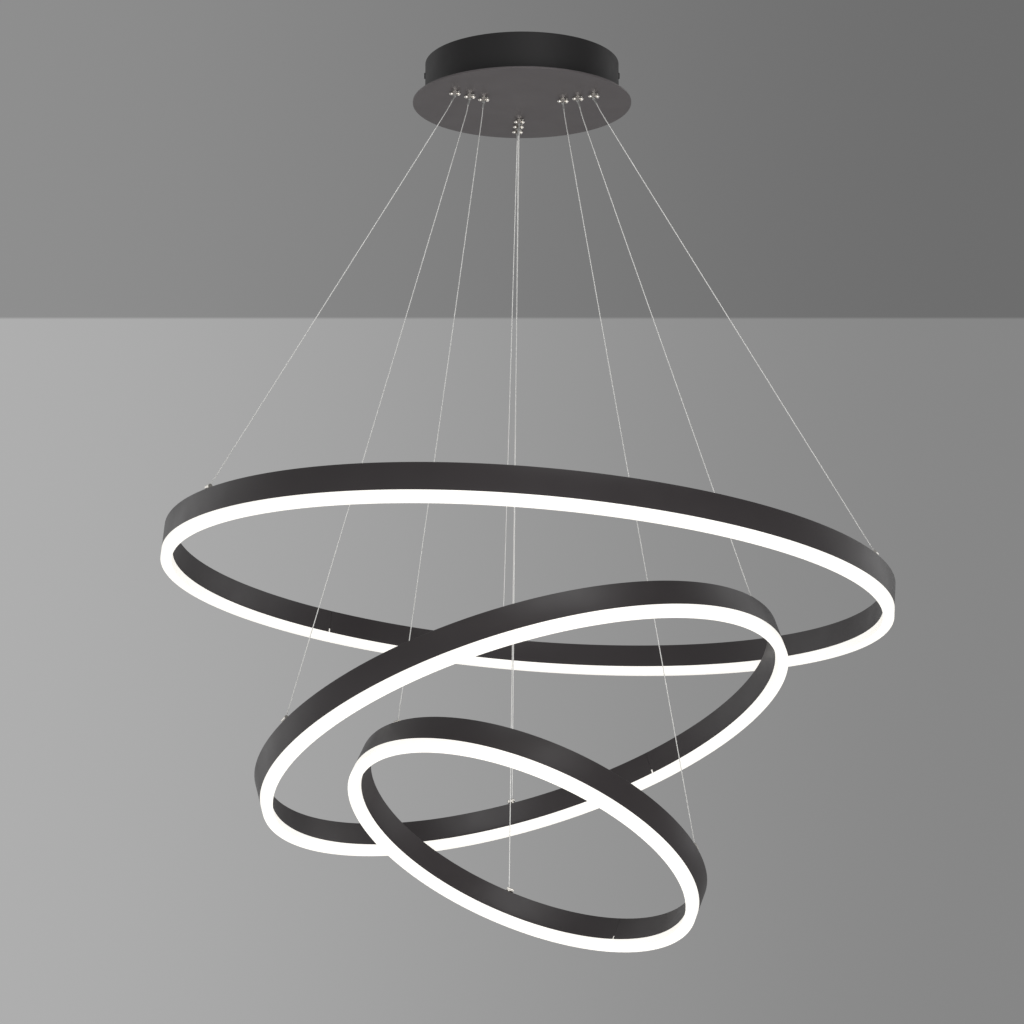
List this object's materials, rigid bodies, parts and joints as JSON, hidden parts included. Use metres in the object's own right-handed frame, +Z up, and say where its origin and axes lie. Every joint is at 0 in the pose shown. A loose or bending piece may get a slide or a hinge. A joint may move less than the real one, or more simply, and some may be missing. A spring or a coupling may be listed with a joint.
{
  "type": "led ring chandelier",
  "caption": "Pendant light of tilted, edge-lit rings of falling size that hang on thin steel wires from a round ceiling canopy",
  "frame": {"origin": "on the ceiling at the centre of the canopy, where the bracket's top face meets it", "axes": "+Z up out of the ceiling's underside, +X along the bracket to the right of the viewer, +Y away from the viewer"},
  "size_m": [0.8002, 0.7978, 0.9986],
  "materials": {
    "ring_paint": "extruded aluminium with a satin charcoal powder coat",
    "diffuser_opal": "lit opal diffuser",
    "canopy_paint": "satin black powder coat",
    "plate_metal": "satin dark grey metallic paint",
    "nickel": "polished nickel plate",
    "wire_steel": "bright stranded steel",
    "zinc_steel": "zinc plated steel",
    "sleeve_plastic": "soft clear-grey sleeve",
    "driver_shell": "plain white moulding",
    "terminal_plastic": "plain pale moulding",
    "bush_plastic": "black insulating nylon",
    "lead_sheath": "lead insulation",
    "earth_sheath": "earth lead insulation",
    "tape": "LED tape with chips",
    "splice_aluminium": "plain extruded",
    "grub_steel": "plated hardened steel"
  },
  "bodies": {
    "canopy": {"ceiling_bracket": "zinc_steel", "canopy_drum": "canopy_paint", "side_screws": "zinc_steel", "canopy_plate": "plate_metal", "m4_nuts": "zinc_steel", "led_driver_1": "driver_shell", "led_driver_2": "driver_shell", "led_driver_3": "driver_shell", "m3_nuts": "zinc_steel", "terminal_block": "terminal_plastic", "terminal_screws": "zinc_steel", "mains_leads": "lead_sheath", "output_leads": "lead_sheath", "earth_lead": "earth_sheath", "gripper_stems": "nickel", "stem_bushes": "bush_plastic", "gripper_bodies": "nickel", "wire_sleeves": "sleeve_plastic", "wire_1_left": "wire_steel", "wire_1_right": "wire_steel", "wire_1_far": "wire_steel", "wire_2_left": "wire_steel", "wire_2_right": "wire_steel", "wire_2_far": "wire_steel", "wire_3_left": "wire_steel", "wire_3_right": "wire_steel", "wire_3_far": "wire_steel"},
    "lock_knob_1_left": {"lock_knob_1_left": "nickel"},
    "lock_knob_1_right": {"lock_knob_1_right": "nickel"},
    "lock_knob_1_far": {"lock_knob_1_far": "nickel"},
    "lock_knob_2_left": {"lock_knob_2_left": "nickel"},
    "lock_knob_2_right": {"lock_knob_2_right": "nickel"},
    "lock_knob_2_far": {"lock_knob_2_far": "nickel"},
    "lock_knob_3_left": {"lock_knob_3_left": "nickel"},
    "lock_knob_3_right": {"lock_knob_3_right": "nickel"},
    "lock_knob_3_far": {"lock_knob_3_far": "nickel"},
    "ring_1": {"profile_1": "ring_paint", "diffuser_1": "diffuser_opal", "led_tape_1": "tape", "splice_bar_1": "splice_aluminium", "wire_anchors_1": "nickel", "anchor_bushes_1": "bush_plastic", "grub_screws_1": "grub_steel", "feed_leads_1": "lead_sheath"},
    "ring_2": {"profile_2": "ring_paint", "diffuser_2": "diffuser_opal", "led_tape_2": "tape", "splice_bar_2": "splice_aluminium", "wire_anchors_2": "nickel", "anchor_bushes_2": "bush_plastic", "grub_screws_2": "grub_steel", "feed_leads_2": "lead_sheath"},
    "ring_3": {"profile_3": "ring_paint", "diffuser_3": "diffuser_opal", "led_tape_3": "tape", "splice_bar_3": "splice_aluminium", "wire_anchors_3": "nickel", "anchor_bushes_3": "bush_plastic", "grub_screws_3": "grub_steel", "feed_leads_3": "lead_sheath"}
  },
  "joints": [
    {"name": "ring_1_height", "type": "slide", "parent": "canopy", "child": "ring_1", "axis": [0, 0, 1], "range_m": [-0.1, 0.1], "deforming": ["wire_1_left", "wire_1_right", "wire_1_far"]},
    {"name": "ring_2_height", "type": "slide", "parent": "canopy", "child": "ring_2", "axis": [0, 0, 1], "range_m": [-0.1, 0.1], "deforming": ["wire_2_left", "wire_2_right", "wire_2_far"]},
    {"name": "ring_3_height", "type": "slide", "parent": "canopy", "child": "ring_3", "axis": [0, 0, 1], "range_m": [-0.1, 0.1], "deforming": ["wire_3_left", "wire_3_right", "wire_3_far"]},
    {"name": "lock_knob_1_left_turn", "type": "hinge", "parent": "canopy", "child": "lock_knob_1_left", "pos_m": [-0.07489, -0.04901, -0.0492], "axis": [1, 0, 0], "range_deg": [0, 720]},
    {"name": "lock_knob_1_right_turn", "type": "hinge", "parent": "canopy", "child": "lock_knob_1_right", "pos_m": [0.07989, -0.04035, -0.0492], "axis": [1, 0, 0], "range_deg": [0, 720]},
    {"name": "lock_knob_1_far_turn", "type": "hinge", "parent": "canopy", "child": "lock_knob_1_far", "pos_m": [-0.005, 0.08936, -0.0492], "axis": [1, 0, 0], "range_deg": [0, 720]},
    {"name": "lock_knob_2_left_turn", "type": "hinge", "parent": "canopy", "child": "lock_knob_2_left", "pos_m": [-0.05857, -0.03833, -0.0492], "axis": [1, 0, 0], "range_deg": [0, 720]},
    {"name": "lock_knob_2_right_turn", "type": "hinge", "parent": "canopy", "child": "lock_knob_2_right", "pos_m": [0.06248, -0.03156, -0.0492], "axis": [1, 0, 0], "range_deg": [0, 720]},
    {"name": "lock_knob_2_far_turn", "type": "hinge", "parent": "canopy", "child": "lock_knob_2_far", "pos_m": [-0.00391, 0.06989, -0.0492], "axis": [1, 0, 0], "range_deg": [0, 720]},
    {"name": "lock_knob_3_left_turn", "type": "hinge", "parent": "canopy", "child": "lock_knob_3_left", "pos_m": [-0.04309, -0.0282, -0.0492], "axis": [1, 0, 0], "range_deg": [0, 720]},
    {"name": "lock_knob_3_right_turn", "type": "hinge", "parent": "canopy", "child": "lock_knob_3_right", "pos_m": [0.04597, -0.02322, -0.0492], "axis": [1, 0, 0], "range_deg": [0, 720]},
    {"name": "lock_knob_3_far_turn", "type": "hinge", "parent": "canopy", "child": "lock_knob_3_far", "pos_m": [-0.00287, 0.05142, -0.0492], "axis": [1, 0, 0], "range_deg": [0, 720]}
  ]
}
